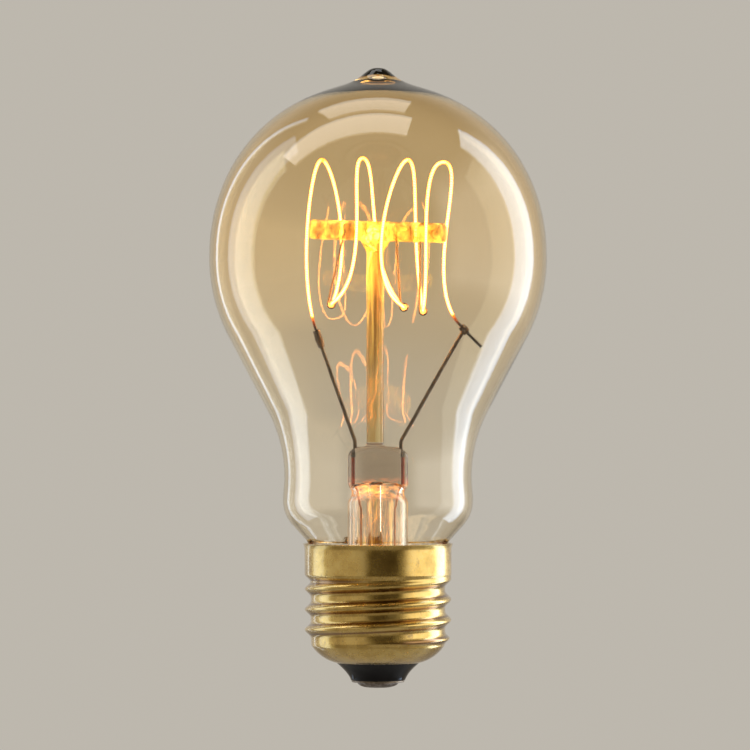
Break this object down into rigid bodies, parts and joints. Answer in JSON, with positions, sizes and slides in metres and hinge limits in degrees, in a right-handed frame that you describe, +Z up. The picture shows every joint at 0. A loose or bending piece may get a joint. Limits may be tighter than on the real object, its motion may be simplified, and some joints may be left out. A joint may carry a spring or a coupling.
{
  "type": "filament bulb",
  "caption": "Clear glass lamp with a drawn tip, a looped filament held on a T-shaped glass support, and a brass screw cap with a black glass insulator and a centre contact.",
  "frame": {"origin": "bottom of the centre contact, on the axis of the lamp", "axes": "+Z up the axis from the contact to the tip; -Y is the front that the picture shows, +X its right"},
  "size_m": [0.06, 0.06, 0.11],
  "materials": {
    "clear_glass": "clear blown glass with a light amber tint",
    "stem_glass": "clear fused glass",
    "tungsten": "glowing wound tungsten wire",
    "nickel_wire": "drawn wire, slightly oxidised",
    "seal_wire": "copper-clad seal wire, red where it wets the glass",
    "copper_lead": "bare copper",
    "brass": "rolled sheet, rubbed, darker in the grooves",
    "cement": "hard lamp cement",
    "black_glass": "opaque black cast glass, glossy",
    "solder": "dull lumpy solder"
  },
  "bodies": {
    "root": {"bulb_envelope": "clear_glass", "stem": "stem_glass", "exhaust_tube": "stem_glass", "centre_rod": "stem_glass", "cross_bar": "stem_glass", "support_hook_left": "nickel_wire", "support_hook_middle": "nickel_wire", "support_hook_right": "nickel_wire", "inner_lead_left": "nickel_wire", "inner_lead_right": "nickel_wire", "filament_clamp_left": "nickel_wire", "filament_clamp_right": "nickel_wire", "seal_wire_left": "seal_wire", "seal_wire_right": "seal_wire", "outer_lead_rim": "copper_lead", "outer_lead_centre": "copper_lead", "filament": "tungsten", "screw_shell": "brass", "contact_plate": "brass", "capping_cement": "cement", "insulator": "black_glass", "contact_solder": "solder", "rim_solder": "solder"}
  },
  "joints": []
}
